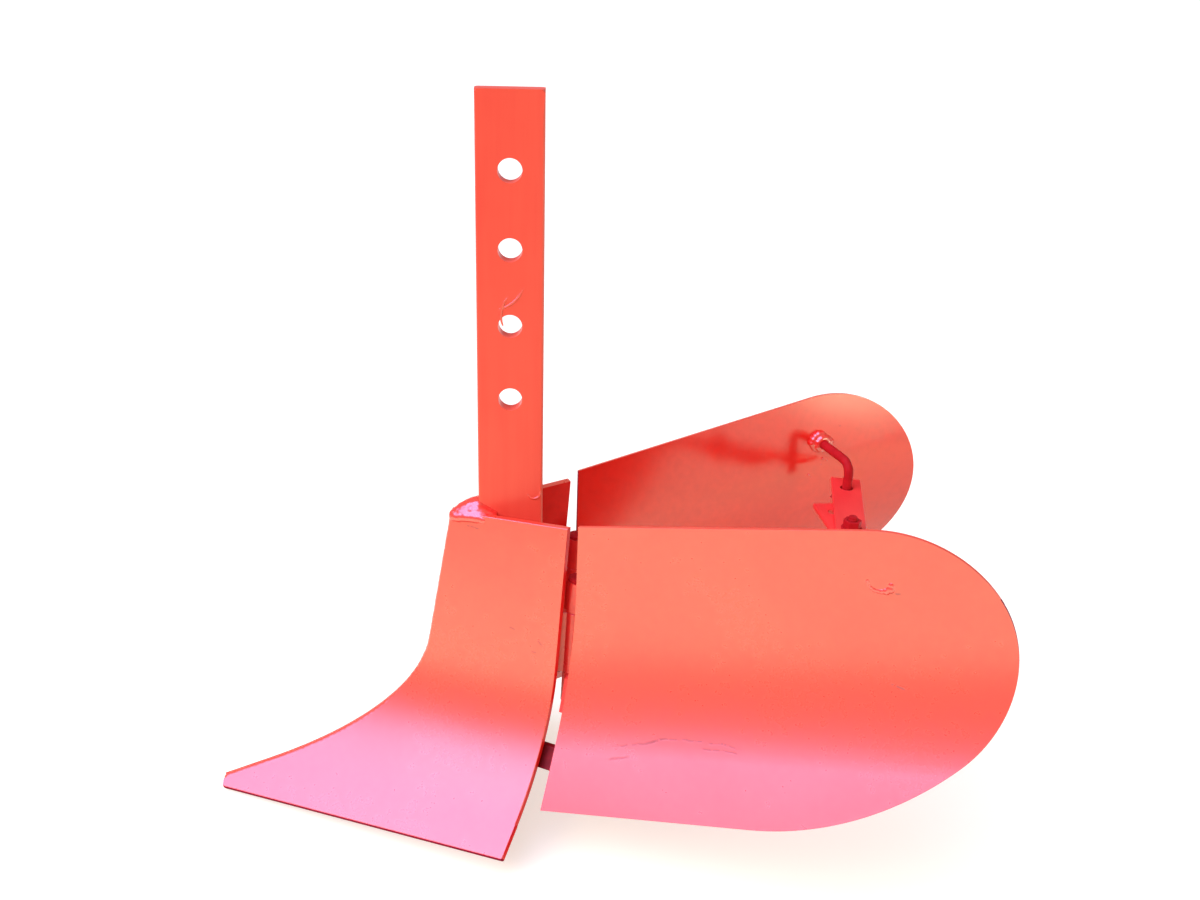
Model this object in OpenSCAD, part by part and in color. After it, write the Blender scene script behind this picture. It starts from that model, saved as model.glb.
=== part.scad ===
/* [Shank] */
// Width of the flat bar, fore and aft
shank_w = 50; // [40:1:70]
// Thickness of the flat bar
shank_t = 12; // [8:1:20]
// Height of the bar's top above the tip
shank_top = 590.8; // [500:0.1:700]
// Position of the bar ahead of the middle of the overall length
shank_x = 58.1; // [30:0.1:70]
// Rounding of the bar's long edges
shank_edge_r = 2; // [0.5:0.5:4]
// Diameter of the hitch holes
hole_d = 18; // [12:0.5:22]
// Spacing of the hitch holes
hole_pitch = 58; // [40:1:80]
// First hitch hole below the top
hole_drop = 57; // [30:1:80]
// Number of hitch holes
hole_count = 4; // [2:1:4]

/* [Share] */
// Thickness of the share plates
share_t = 6; // [3:0.5:8]
// Angle of each share plate to the line of travel
share_angle = 25.5; // [18:0.5:35]
// Nose-down pitch of the share
share_pitch = 4; // [0:0.5:8]
// Where the share faces would meet at the rim, ahead of the bar's centre line
prow_reach = 54.5; // [45:0.5:80]
// Height of the rim at the prow
rim_z = 263.5; // [220:0.1:300]
// Length of the rim along each plate
rim_len = 110.5; // [80:0.5:140]
// Forward slope of the rear edge, per unit of depth
rear_slope = 0.11; // [0:0.01:0.3]
// Outward lean of the upper flat
share_lean = 4.3; // [0:0.1:10]
// Length of the upper flat
share_upper = 114; // [60:1:140]
// Radius of the curve
share_bend_r = 163; // [120:1:260]
// Outward flare below the curve
share_flare = 51; // [35:1:60]
// Length of the lower flat
share_lower = 29; // [5:1:60]
// Reach of the blunt tip ahead of the bar's centre line
tip_reach = 245; // [220:0.5:260]
// Half width of the groove between the plates along the prow
prow_half = 4; // [2:0.5:6]

/* [Wing] */
// Thickness of the wings
wing_t = 2.5; // [2:0.5:5]
// Angle of each wing to the line of travel
wing_angle = 21; // [15:0.5:30]
// Rise of the wing's top edge to the rear
wing_rise = 10; // [0:0.5:15]
// Wing's top front corner behind the bar's centre line
wing_back = 52.8; // [48:0.1:70]
// Wing's top front corner out from the middle
wing_out = 53.2; // [45:0.1:70]
// Height of the wing's top front corner
wing_z = 275.7; // [240:0.1:310]
// Lean of the wing's upper flat, inward when negative
wing_lean = -5; // [-10:0.5:10]
// Length of the wing's upper flat
wing_upper = 55; // [30:1:90]
// Radius of the wing's curve
wing_bend_r = 216; // [150:1:300]
// Outward flare at the wing's foot
wing_flare = 30.5; // [15:0.5:45]
// Length of the wing's lower flat
wing_lower = 60; // [40:1:90]
// Depth of the wing
wing_depth = 223.5; // [160:0.5:260]
// Forward slope of the wing's front edge, per unit of depth
front_slope = 0.22; // [0:0.01:0.35]
// Straight part of the wing's top edge
wing_top_len = 218.5; // [150:0.5:260]
// Radius of the tail as a share of the wing's depth
tail_share = 0.432; // [0.35:0.002:0.48]
// Radius of the belly as a share of the wing's depth
belly_share = 1.208; // [1:0.002:1.5]

/* [Hinge] */
// Hinge line behind the bar's centre line, at its middle
hinge_back = 50.2; // [45:0.1:60]
// Hinge line out from the middle
hinge_out = 37.5; // [32:0.1:42]
// Height of the hinge's middle
hinge_z = 168; // [150:0.1:200]
// Forward lean of the hinge line at its foot
hinge_lean = 2.5; // [0:0.5:6]
// Length of the hinge
hinge_len = 108; // [70:1:120]
// Share of the hinge length that the middle knuckle takes
knuckle_share = 0.5; // [0.3:0.05:0.6]
// Diameter of the knuckles
knuckle_d = 13; // [11:0.5:14]
// Diameter of the pin
pin_d = 8; // [5:0.5:9]
// Diameter of the pin's head
pin_head_d = 13; // [10:0.5:15]
// Height of the pin's head
pin_head_h = 3; // [2:0.5:5]
// Part of the pin below the knuckles
pin_tail = 5; // [3:0.5:9]
// Thickness of the share's hinge arm
arm_t = 6; // [4:0.5:8]
// Length of each wing lug along the wing
lug_len = 22; // [14:1:30]

/* [Straps] */
// Width of the strap in the gap
strap_h = 16; // [12:1:35]
// Height of the strap's lower edge
strap_z = 70; // [50:0.1:90]
// Thickness of the strap
strap_t = 4; // [3:0.5:6]
// Packing between share and strap
strap_pack = 4; // [3:0.5:9]
// Lap of the strap over the share
strap_lap = 30; // [20:1:45]
// Reach of the strap behind the share's rear edge
strap_reach = 20; // [14:1:24]

/* [Foot] */
// Height of the bar's lower end
foot_z = 140; // [110:0.1:180]
// Thickness of the foot plate
foot_t = 6; // [4:0.5:10]
// Length of the foot plate behind the bar's centre line
foot_back = 30; // [25:1:40]
// Depth of the weld fill beside the bar
seam_drop = 70; // [40:1:100]
// Length of the weld fill beside the bar
seam_len = 8; // [6:1:20]

/* [Hook rods] */
// Diameter of the rod
rod_d = 8; // [6:0.5:12]
// Place of the rod along the wing
rod_along = 222; // [180:1:240]
// Place of the rod below the wing's top edge
rod_drop = 42; // [25:1:48]
// Reach of the rod from the wing's inner face
rod_reach = 50; // [35:1:60]
// Radius of the rod's bend
rod_bend_r = 11; // [8:0.5:20]
// Depth of the rod's leg
rod_leg = 42; // [34:1:50]
// Foot diameter of the weld collar
collar_d = 22; // [14:1:28]
// Height of the weld collar
collar_h = 8; // [4:0.5:12]

/* [Strips] */
// Width of the strips
strip_w = 25; // [20:1:35]
// Thickness of the strips
strip_t = 4; // [3:0.5:6]
// Height of the upper strip's top face
strip_z = 251; // [235:0.1:260]
// Turn of each strip from square across
strip_turn = 7.8; // [2:0.1:12]
// Strip beyond its hook hole
strip_end = 20; // [14:1:30]
// Strip from its hook hole to the free end
strip_len = 143; // [130:1:160]
// Diameter of the hook hole
hook_hole_d = 11; // [9:0.5:15]
// Diameter of the adjusting holes
adjust_d = 9; // [8.5:0.1:12]
// Spacing of the adjusting holes
adjust_pitch = 22; // [18:1:30]
// Adjusting holes before the one in use
adjust_before = 1; // [0:1:1]
// Adjusting holes after the one in use
adjust_after = 2; // [1:1:2]
// Width of the slot
slot_w = 10.5; // [9:0.1:12]
// Slot from the bolt towards the hook
slot_near = 18; // [10:1:22]
// Slot from the bolt towards the free end
slot_far = 46; // [30:1:48]

/* [Clamp] */
// Diameter of the bolt
bolt_d = 8; // [6:0.5:8.5]
// Bolt's size across the flats
hex_flats = 13; // [10:0.5:16]
// Height of the bolt's head
head_h = 5.3; // [4:0.1:7]
// Height of the nut
nut_h = 6.5; // [4:0.1:8]
// Diameter of the washers
washer_d = 17; // [15:0.5:20]
// Thickness of the washers
washer_t = 1.6; // [1:0.1:2.5]
// Thickness of the washer between the strips
spacer_t = 1; // [0.8:0.1:2]
// Bolt beyond the nut
bolt_over = 3; // [1:0.5:8]
// Diameter of the split pins
cotter_d = 2; // [1.6:0.2:3]
// Length of the split pins
cotter_len = 20; // [14:1:26]

/* [Hidden] */
$fn = 96;
// Overrun of cutters past a face
over = 1;
// Size of the regions used to trim pieces
far = 200;
// Run of a sheet past its outline before trimming
sheet_run = 20;
// Running clearance of a pin in its bore, on the radius
run_gap = 0.05;
// Clearance of a washer on the bolt or rod, on the radius
ring_gap = 0.2;
// Axial clearance between knuckles
knuckle_gap = 0.5;
// Clearance between a moving strip and the washer beside it
face_gap = 0.5;
// Lip of the weld collar round the rod
collar_lip = 2;
// Radius of the split pin's eye, and its wire as a share of the pin's diameter
cotter_eye_r = 2.6;
cotter_eye_share = 0.9;
// Colours of the enamel on the outer plates, the inner pieces and the fixings
enamel = [0.86, 0.16, 0.08];
enamel_deep = [0.72, 0.10, 0.05];
enamel_fixing = [0.78, 0.14, 0.10];

// Forms of the curved plates: lean, upper flat, bend radius, flare, lower flat
share_form = [share_lean, share_upper, share_bend_r, share_flare, share_lower];
wing_form = [wing_lean, wing_upper, wing_bend_r, wing_flare, wing_lower];
prow_x = shank_x + prow_reach;
wing_x = shank_x - wing_back;
hinge_x = shank_x - hinge_back;
shank_front = shank_x + shank_w / 2;

// Outward and downward directions of a plate that leans by a
function out_of(a) = [cos(a), sin(a)];
function down(a) = [sin(a), -cos(a)];
// Points of a plate's outer face in section: x outward, y up
function knee_a(f) = f[1] * down(f[0]);
function bend_c(f) = knee_a(f) + f[2] * out_of(f[0]);
function knee_b(f) = bend_c(f) - f[2] * out_of(f[3]);
function foot_of(f) = knee_b(f) + f[4] * down(f[3]);

// Everything on the inner side of the face that lies k inside a plate's outer face
module inside_2d(f, k, run) {
  top = -run * down(f[0]) - k * out_of(f[0]);
  low = foot_of(f) + run * down(f[3]) - k * out_of(f[3]);
  difference() {
    polygon([
      top,
      knee_a(f) - k * out_of(f[0]),
      knee_b(f) - k * out_of(f[3]),
      low,
      low - far * out_of(f[3]),
      top - far * out_of(f[0])
    ]);
    translate(bend_c(f)) circle(r = f[2] + k, $fn = 240);
  }
}

// Section of a layer of a plate between depths k0 and k1 under its outer face
module layer_2d(f, k0, k1, run) {
  difference() {
    inside_2d(f, k0, run);
    inside_2d(f, k1, run + over);
  }
}

// A section drawn out along the plate, from back behind to ahead in front
module along(back, ahead) {
  translate([-back, 0, 0])
    rotate([90, 0, 90])
      linear_extrude(height = back + ahead) children();
}

// A side outline drawn out through the plate
module through() {
  rotate([90, 0, 0])
    linear_extrude(height = 2 * far, center = true) children();
}

// Places of the share's and the wing's own frames, left side
module at_share() {
  translate([prow_x, 0, rim_z])
    rotate([0, 0, -share_angle])
      rotate([0, share_pitch, 0]) children();
}
module at_wing() {
  translate([wing_x, wing_out, wing_z])
    rotate([0, 0, -wing_angle])
      rotate([0, wing_rise, 0]) children();
}
module at_hinge() {
  translate([hinge_x, hinge_out, hinge_z])
    rotate([0, -hinge_lean, 0]) children();
}
module right() {
  mirror([0, 1, 0]) children();
}

// Space between the share plates, one side, and inside a wing
module inside_share() {
  at_share()
    along(far, 2 * far)
      inside_2d(share_form, share_t, far);
}
module inside_wing() {
  at_wing()
    along(2 * far, far)
      inside_2d(wing_form, wing_t, far);
}

/* Shank: flat bar with rounded long edges and a row of hitch holes */
module shank_2d() {
  flat = shank_w - 2 * shank_edge_r;
  thin = shank_t - 2 * shank_edge_r;
  square([flat, shank_t], center = true);
  square([shank_w, thin], center = true);
  for (sx = [-1, 1], sy = [-1, 1])
    translate([sx * flat / 2, sy * thin / 2]) circle(r = shank_edge_r, $fn = 32);
}
module shank() {
  color(enamel)
    difference() {
      translate([shank_x, 0, foot_z])
        linear_extrude(height = shank_top - foot_z) shank_2d();
      for (i = [0 : hole_count - 1])
        translate([shank_x, 0, shank_top - hole_drop - i * hole_pitch])
          rotate([90, 0, 0])
            cylinder(d = hole_d, h = shank_t + 2 * over, center = true);
    }
}

/* Share plates: curved plates, trimmed at the prow and sloped at the rear */
share_depth = -foot_of(share_form)[1] + share_t;
module share_outline() {
  polygon([
    [-rim_len - rear_slope * share_t, share_t],
    [2 * far, share_t],
    [2 * far, -share_depth],
    [-rim_len + rear_slope * share_depth, -share_depth]
  ]);
}
module left_side() {
  translate([-2 * far, prow_half, -far]) cube([2 * far + shank_x + tip_reach, 2 * far, 4 * far]);
}
module share_left() {
  color(enamel)
    intersection() {
      at_share()
        intersection() {
          along(far, 2 * far) layer_2d(share_form, 0, share_t, 0);
          through() share_outline();
        }
      left_side();
    }
}
module share_right() {
  right() share_left();
}

/* Prow weld: bead that fills the groove between the plates along the prow */
bead_steps = 44;
bead_crown = 1.15;
bead_crown_share = 0.62;
bead_crown_rise_share = 0.66;
arc_len = share_bend_r * (share_flare - share_lean) * PI / 180;
tip_stand = (tip_reach - prow_reach - bead_crown + prow_half / tan(share_angle)) * sin(share_angle);
tip_lower = (tip_stand - knee_b(share_form)[0]) / sin(share_flare);
bead_run = share_upper + arc_len + max(0, min(share_lower, tip_lower));
function share_turn(u) =
  share_lean + (share_flare - share_lean) * max(0, min(1, (u - share_upper) / arc_len));
function share_pt(u) =
  u <= share_upper ? u * down(share_lean) :
  u >= share_upper + arc_len ? knee_b(share_form) + (u - share_upper - arc_len) * down(share_flare) :
  bend_c(share_form) - share_bend_r * out_of(share_turn(u));
// Point of the prow at y for a point p of the plate's section
function prow_pt(p, y, crown) = [
  prow_x + p[0] / sin(share_angle) - prow_half / tan(share_angle) + crown,
  y,
  rim_z + p[1] / cos(share_pitch) - p[0] / tan(share_angle) * tan(share_pitch)
    + prow_half / sin(share_angle) * tan(share_pitch)
];
function bead_ring(u) =
  let (
    o = share_pt(u),
    i = o - share_t * out_of(share_turn(u)),
    side = bead_crown_share * prow_half,
    rise = bead_crown_rise_share * bead_crown
  )
  [
    prow_pt(o, prow_half, 0),
    prow_pt(o, side, rise),
    prow_pt(o, 0, bead_crown),
    prow_pt(o, -side, rise),
    prow_pt(o, -prow_half, 0),
    prow_pt(i, -prow_half, 0),
    prow_pt(i, prow_half, 0)
  ];
module prow_weld() {
  rings = [for (k = [0 : bead_steps]) bead_ring(bead_run * k / bead_steps)];
  n = len(rings[0]);
  color(enamel)
    polyhedron(
      points = [for (r = rings) each r],
      faces = [
        [for (j = [n - 1 : -1 : 0]) j],
        [for (j = [0 : n - 1]) bead_steps * n + j],
        for (k = [0 : bead_steps - 1], j = [0 : n - 1])
          each [
            [k * n + j, k * n + (j + 1) % n, (k + 1) * n + j],
            [k * n + (j + 1) % n, (k + 1) * n + (j + 1) % n, (k + 1) * n + j]
          ]
      ]
    );
}

/* Nose weld: fill between the prow and the front of the shank */
nose_depth = 16;
nose_back = 6;
nose_front = 18;
nose_rise = 1;
nose_crown = 5;
nose_side_r = 4;
nose_top_r = 3;
module nose_weld() {
  color(enamel) {
    intersection() {
      translate([shank_front, -far / 2, rim_z - nose_depth])
        cube([nose_front, far, nose_depth + nose_rise]);
      inside_share();
      right() inside_share();
      translate([-far, -prow_half - nose_side_r, 0])
        cube([4 * far, 2 * (prow_half + nose_side_r), 4 * far]);
    }
    hull() {
      for (sy = [-1, 1])
        translate([shank_front - nose_back, sy * (shank_t / 2 + nose_side_r), rim_z + nose_rise])
          sphere(r = nose_side_r, $fn = 32);
      translate([shank_front + nose_top_r, 0, rim_z + nose_rise + nose_crown])
        sphere(r = nose_top_r, $fn = 32);
      translate([shank_front + nose_front, 0, rim_z + nose_rise - nose_top_r])
        sphere(r = nose_top_r, $fn = 32);
    }
  }
}

/* Weld fill between the shank's sides and the share plates */
module shank_welds() {
  module fill() {
    intersection() {
      translate([shank_front - seam_len, shank_t / 2, rim_z - nose_depth - seam_drop])
        cube([seam_len, far, seam_drop]);
      inside_share();
    }
  }
  color(enamel_deep) {
    fill();
    right() fill();
  }
}

/* Foot plate: level plate under the shank, fitted between the share plates */
module foot_plate() {
  color(enamel_deep)
    intersection() {
      translate([shank_x - foot_back, -far / 2, foot_z - foot_t])
        cube([foot_back + shank_w / 2, far, foot_t]);
      inside_share();
      right() inside_share();
    }
}

/* Gap straps: flat straps on packing inside the share, low in the gap to the wing */
strap_edge = rim_len - rear_slope * (rim_z - strap_z);
module gap_strap_left() {
  color(enamel_deep)
    intersection() {
      at_share() {
        along(strap_edge + strap_reach, strap_lap - strap_edge)
          layer_2d(share_form, share_t + strap_pack, share_t + strap_pack + strap_t, 0);
        along(strap_edge - strap_t, strap_lap - strap_edge)
          layer_2d(share_form, share_t, share_t + strap_pack, 0);
      }
      translate([-2 * far, 0, strap_z]) cube([4 * far, 2 * far, strap_h]);
    }
}
module gap_strap_right() {
  right() gap_strap_left();
}

/* Hinge: knuckles on one line, the middle one on the share, the outer two on the wing */
mid_len = hinge_len * knuckle_share;
end_len = (hinge_len - mid_len) / 2 - knuckle_gap;
bore_d = pin_d + 2 * run_gap;
end_lift = mid_len / 2 + knuckle_gap;
module pin_bore() {
  at_hinge() cylinder(d = bore_d, h = hinge_len + 2 * over, center = true);
}
module share_knuckle_left() {
  color(enamel_deep)
    difference() {
      union() {
        at_hinge() cylinder(d = knuckle_d, h = mid_len, center = true);
        intersection() {
          at_hinge() translate([0, -arm_t / 2, -mid_len / 2]) cube([far, arm_t, mid_len]);
          inside_share();
        }
      }
      pin_bore();
    }
}
module share_knuckle_right() {
  right() share_knuckle_left();
}
module wing_knuckle_2d() {
  difference() {
    union() {
      circle(d = knuckle_d);
      rotate(-wing_angle) translate([-lug_len, 0]) square([lug_len, 2 * knuckle_d]);
    }
    circle(d = bore_d);
  }
}
module wing_knuckles_left() {
  color(enamel_deep)
    for (low = [end_lift, -end_lift - end_len])
      intersection() {
        at_hinge()
          translate([0, 0, low])
            linear_extrude(height = end_len) wing_knuckle_2d();
        inside_wing();
      }
}
module wing_knuckles_right() {
  right() wing_knuckles_left();
}
module hinge_pin_left() {
  color(enamel_fixing)
    at_hinge() {
      translate([0, 0, -hinge_len / 2 - pin_tail])
        cylinder(d = pin_d, h = hinge_len + pin_tail + knuckle_gap);
      translate([0, 0, hinge_len / 2 + knuckle_gap])
        cylinder(d = pin_head_d, h = pin_head_h);
    }
}
module hinge_pin_right() {
  right() hinge_pin_left();
}

/* Wings: curved plates with a straight top and a rounded tail */
tail_r = tail_share * wing_depth;
belly_r = belly_share * wing_depth;
belly_drop = wing_depth - belly_r;
belly_along = wing_top_len - sqrt(pow(belly_r - tail_r, 2) - pow(tail_r - belly_drop, 2));
tail_mid = [-wing_top_len, -tail_r];
belly_mid = [-belly_along, -belly_drop];
tail_dir = (tail_mid - belly_mid) / norm(tail_mid - belly_mid);
tail_turn = atan2(tail_dir[1], tail_dir[0]) + 360;
tail_steps = 44;
belly_steps = 20;
function arc(mid, r, from, to, steps) = [
  for (k = [0 : steps])
    let (a = from + (to - from) * k / steps)
    mid + r * [cos(a), sin(a)]
];
module wing_outline() {
  polygon(concat(
    [[0, 0]],
    arc(tail_mid, tail_r, 90, tail_turn, tail_steps),
    arc(belly_mid, belly_r, tail_turn, 270, belly_steps),
    [[front_slope * wing_depth, -wing_depth]]
  ));
}
module wing_left() {
  color(enamel)
    at_wing()
      intersection() {
        along(2 * far, far) layer_2d(wing_form, 0, wing_t, sheet_run);
        through() wing_outline();
      }
}
module wing_right() {
  right() wing_left();
}

/* Strips: levels of the two strips, and the place of the bolt where they cross */
upper_under = strip_z - strip_t;
lower_top = upper_under - face_gap - spacer_t;
lower_under = lower_top - strip_t;

/* Hook rods: bent bars welded square to the wings, with a split pin under each strip */
rod_n = -wing_t / cos(wing_lean) + rod_drop * tan(wing_lean);
rod_back = rod_along * cos(wing_rise) + rod_drop * sin(wing_rise);
rod_z = wing_z + rod_along * sin(wing_rise) - rod_drop * cos(wing_rise);
rod_x = wing_x - rod_back * cos(wing_angle) + rod_n * sin(wing_angle);
rod_y = wing_out + rod_back * sin(wing_angle) + rod_n * cos(wing_angle);
hook_x = rod_x - rod_reach * sin(wing_angle);
hook_y = rod_y - rod_reach * cos(wing_angle);
bolt_x = hook_x + hook_y * tan(strip_turn);
bolt_at = hook_y / cos(strip_turn);
function cotter_z(under) = under - face_gap - washer_t - ring_gap - cotter_d / 2;
// The rods, strips and bolt stand square to the hinge lines, so they lean with them
module with_hinge() {
  translate([rod_x, 0, rod_z])
    rotate([0, -hinge_lean, 0])
      translate([-rod_x, 0, -rod_z]) children();
}
module at_rod() {
  with_hinge() translate([rod_x, rod_y, rod_z]) rotate([0, 0, -wing_angle]) children();
}
module at_hook(z) {
  with_hinge() translate([hook_x, hook_y, z]) rotate([0, 0, -wing_angle]) children();
}
module hook_rod(under) {
  color(enamel)
    difference() {
      union() {
        intersection() {
          at_rod()
            translate([0, collar_h, 0])
              rotate([90, 0, 0])
                cylinder(d = rod_d, h = rod_reach - rod_bend_r + collar_h, $fn = 48);
          inside_wing();
        }
        at_rod()
          translate([0, rod_bend_r - rod_reach, -rod_bend_r])
            rotate([90, 0, -90])
              rotate_extrude(angle = 90, $fn = 96)
                translate([rod_bend_r, 0]) circle(d = rod_d, $fn = 48);
        at_rod()
          translate([0, -rod_reach, -rod_leg])
            cylinder(d = rod_d, h = rod_leg - rod_bend_r, $fn = 48);
      }
      at_hook(cotter_z(under))
        rotate([0, 90, 0])
          cylinder(d = cotter_d + 2 * run_gap, h = rod_d + 2 * over, center = true, $fn = 32);
    }
}
module hook_rod_left() {
  hook_rod(lower_under);
}
module hook_rod_right() {
  right() hook_rod(upper_under);
}

/* Weld collars round the roots of the rods */
module hook_weld_left() {
  color(enamel)
    intersection() {
      at_rod()
        difference() {
          translate([0, collar_h, 0])
            rotate([90, 0, 0]) {
              cylinder(d = collar_d, h = collar_h, $fn = 64);
              translate([0, 0, collar_h])
                cylinder(d1 = collar_d, d2 = rod_d + collar_lip, h = collar_h, $fn = 64);
            }
          rotate([90, 0, 0])
            cylinder(d = rod_d, h = 4 * collar_h, center = true, $fn = 48);
        }
      inside_wing();
    }
}
module hook_weld_right() {
  right() hook_weld_left();
}

/* Washers and split pins that keep the strips on the rods */
module ring(bore, d, h) {
  difference() {
    cylinder(d = d, h = h, $fn = 64);
    translate([0, 0, -over]) cylinder(d = bore, h = h + 2 * over, $fn = 64);
  }
}
module hook_washer(under) {
  color(enamel_fixing)
    at_hook(under - face_gap - washer_t) ring(rod_d + 2 * ring_gap, washer_d, washer_t);
}
module hook_washer_left() {
  hook_washer(lower_under);
}
module hook_washer_right() {
  right() hook_washer(upper_under);
}
module hook_cotter(under) {
  color(enamel_fixing)
    at_hook(cotter_z(under)) {
      rotate([0, 90, 0]) cylinder(d = cotter_d, h = cotter_len, center = true, $fn = 32);
      translate([cotter_len / 2 + cotter_eye_r - cotter_d / 2, 0, 0])
        rotate_extrude($fn = 48)
          translate([cotter_eye_r, 0]) circle(d = cotter_eye_share * cotter_d, $fn = 32);
    }
}
module hook_cotter_left() {
  hook_cotter(lower_under);
}
module hook_cotter_right() {
  right() hook_cotter(upper_under);
}

/* Spreader strips: the lower one with a row of holes, the upper one with a slot */
module at_strip(z) {
  with_hinge() translate([hook_x, hook_y, z]) rotate([0, 0, strip_turn]) children();
}
module strip_2d() {
  difference() {
    translate([-strip_w / 2, -strip_len]) square([strip_w, strip_len + strip_end]);
    circle(d = hook_hole_d, $fn = 64);
  }
}
module strip_left() {
  color(enamel)
    at_strip(lower_under)
      linear_extrude(height = strip_t)
        difference() {
          strip_2d();
          for (k = [-adjust_before : adjust_after])
            translate([0, -bolt_at - k * adjust_pitch]) circle(d = adjust_d, $fn = 64);
        }
}
module strip_right() {
  color(enamel)
    right()
      at_strip(upper_under)
        linear_extrude(height = strip_t)
          difference() {
            strip_2d();
            translate([-slot_w / 2, -bolt_at - slot_far]) square([slot_w, slot_near + slot_far]);
            for (y = [slot_near, -slot_far])
              translate([0, -bolt_at + y]) circle(d = slot_w, $fn = 64);
          }
}

/* Clamp: bolt from below, washers on both sides and between the strips, nut above */
hex_d = hex_flats / cos(30);
nut_z = strip_z + face_gap + washer_t;
module at_bolt(z) {
  with_hinge() translate([bolt_x, 0, z]) children();
}
module clamp_bolt() {
  color(enamel_fixing) {
    at_bolt(lower_under - washer_t - head_h) cylinder(d = hex_d, h = head_h, $fn = 6);
    at_bolt(lower_under - washer_t - head_h)
      cylinder(d = bolt_d, h = head_h + nut_z + nut_h + bolt_over - lower_under + washer_t, $fn = 48);
  }
}
module clamp_nut() {
  color(enamel_fixing)
    at_bolt(nut_z)
      difference() {
        cylinder(d = hex_d, h = nut_h, $fn = 6);
        translate([0, 0, -over]) cylinder(d = bolt_d + 2 * run_gap, h = nut_h + 2 * over, $fn = 48);
      }
}
module clamp_washers() {
  color(enamel_fixing) {
    at_bolt(lower_under - washer_t) ring(bolt_d + 2 * ring_gap, washer_d, washer_t);
    at_bolt(lower_top) ring(bolt_d + 2 * ring_gap, washer_d, spacer_t);
    at_bolt(strip_z + face_gap) ring(bolt_d + 2 * ring_gap, washer_d, washer_t);
  }
}

shank();
share_left();
share_right();
prow_weld();
nose_weld();
shank_welds();
foot_plate();
gap_strap_left();
gap_strap_right();
share_knuckle_left();
share_knuckle_right();
hinge_pin_left();
hinge_pin_right();
wing_left();
wing_right();
wing_knuckles_left();
wing_knuckles_right();
hook_rod_left();
hook_rod_right();
hook_weld_left();
hook_weld_right();
hook_washer_left();
hook_washer_right();
hook_cotter_left();
hook_cotter_right();
strip_left();
strip_right();
clamp_bolt();
clamp_nut();
clamp_washers();
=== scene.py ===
from math import atan2, cos, pi, radians, sin, sqrt, tan

import bmesh
import bpy
from mathutils import Matrix, Vector


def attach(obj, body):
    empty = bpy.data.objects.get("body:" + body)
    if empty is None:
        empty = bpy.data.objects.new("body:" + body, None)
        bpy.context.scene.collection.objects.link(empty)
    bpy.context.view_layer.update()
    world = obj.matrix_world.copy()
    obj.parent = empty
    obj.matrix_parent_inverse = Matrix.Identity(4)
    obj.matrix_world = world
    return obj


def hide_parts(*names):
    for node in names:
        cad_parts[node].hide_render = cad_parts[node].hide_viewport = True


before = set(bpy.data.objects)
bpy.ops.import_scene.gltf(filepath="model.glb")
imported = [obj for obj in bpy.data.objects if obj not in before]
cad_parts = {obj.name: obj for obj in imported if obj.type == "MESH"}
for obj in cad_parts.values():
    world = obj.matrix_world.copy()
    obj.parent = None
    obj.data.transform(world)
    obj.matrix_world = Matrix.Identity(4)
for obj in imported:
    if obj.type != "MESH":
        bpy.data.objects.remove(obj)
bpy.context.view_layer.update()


# SHANK
# The upright flat bar that bolts into the tool holder. Rolled steel bar with
# drilled hitch holes, its long arrises rounded by rolling, enamelled by brush.

class Tone:
    """One value in a finish; sums and products of it add the nodes they need."""

    def __init__(self, tree, socket):
        self.tree, self.socket = tree, socket

    def make(self, kind, settings, sockets, out=0):
        node = self.tree.nodes.new(kind)
        for name, value in settings.items():
            setattr(node, name, value)
        for name, value in sockets.items():
            if isinstance(value, Tone):
                self.tree.links.new(value.socket, node.inputs[name])
            else:
                node.inputs[name].default_value = value
        return Tone(self.tree, node.outputs[out])

    def sums(self, operation, *values):
        return self.make("ShaderNodeMath", {"operation": operation}, dict(enumerate(values)))

    def __add__(self, other):
        return self.sums("ADD", self, other)

    def __sub__(self, other):
        return self.sums("SUBTRACT", self, other)

    def __rsub__(self, other):
        return self.sums("SUBTRACT", other, self)

    def __mul__(self, other):
        return self.sums("MULTIPLY", self, other)

    def __abs__(self):
        return self.sums("ABSOLUTE", self)

    __radd__, __rmul__ = __add__, __mul__

    def dot(self, direction):
        kind = {"operation": "DOT_PRODUCT"}
        return self.make("ShaderNodeVectorMath", kind, {0: self, 1: direction}, "Value")

    def ramp(self, low, high):
        """0 below low, 1 above high, smooth between."""
        return self.make(
            "ShaderNodeMapRange", {"interpolation_type": "SMOOTHSTEP"},
            {"Value": self, "From Min": low, "From Max": high},
        )

    def grain(self, scale, detail=2.0, rough=0.5):
        return self.make(
            "ShaderNodeTexNoise", {}, {"Vector": self, "Scale": scale, "Detail": detail, "Roughness": rough}
        )

    def blend(self, first, second):
        """First colour where this value is 0, second where it is 1."""
        return self.make("ShaderNodeMix", {"data_type": "RGBA"}, {0: self, 6: first, 7: second}, 2)


def scuff(at, origin, heading, run, wide, bow=0.0):
    """A thin curved rub: 1 on a line of that run from origin, along heading, and 0 off it."""
    along = Vector(heading).normalized()
    up = (Vector((0, 0, 1)) - along * along.z).normalized()
    away = at.make("ShaderNodeVectorMath", {"operation": "SUBTRACT"}, {0: at, 1: origin})
    x = away.dot(along)
    off = abs(away.dot(up) - x * x * bow - (at.grain(70.0) - 0.5) * 0.005)
    ends = x.ramp(0.0, run * 0.12) * (1 - x.ramp(run * 0.8, run))
    return (1 - off.ramp(wide * 0.35, wide)) * ends * at.grain(260.0).ramp(0.36, 0.52)


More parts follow.
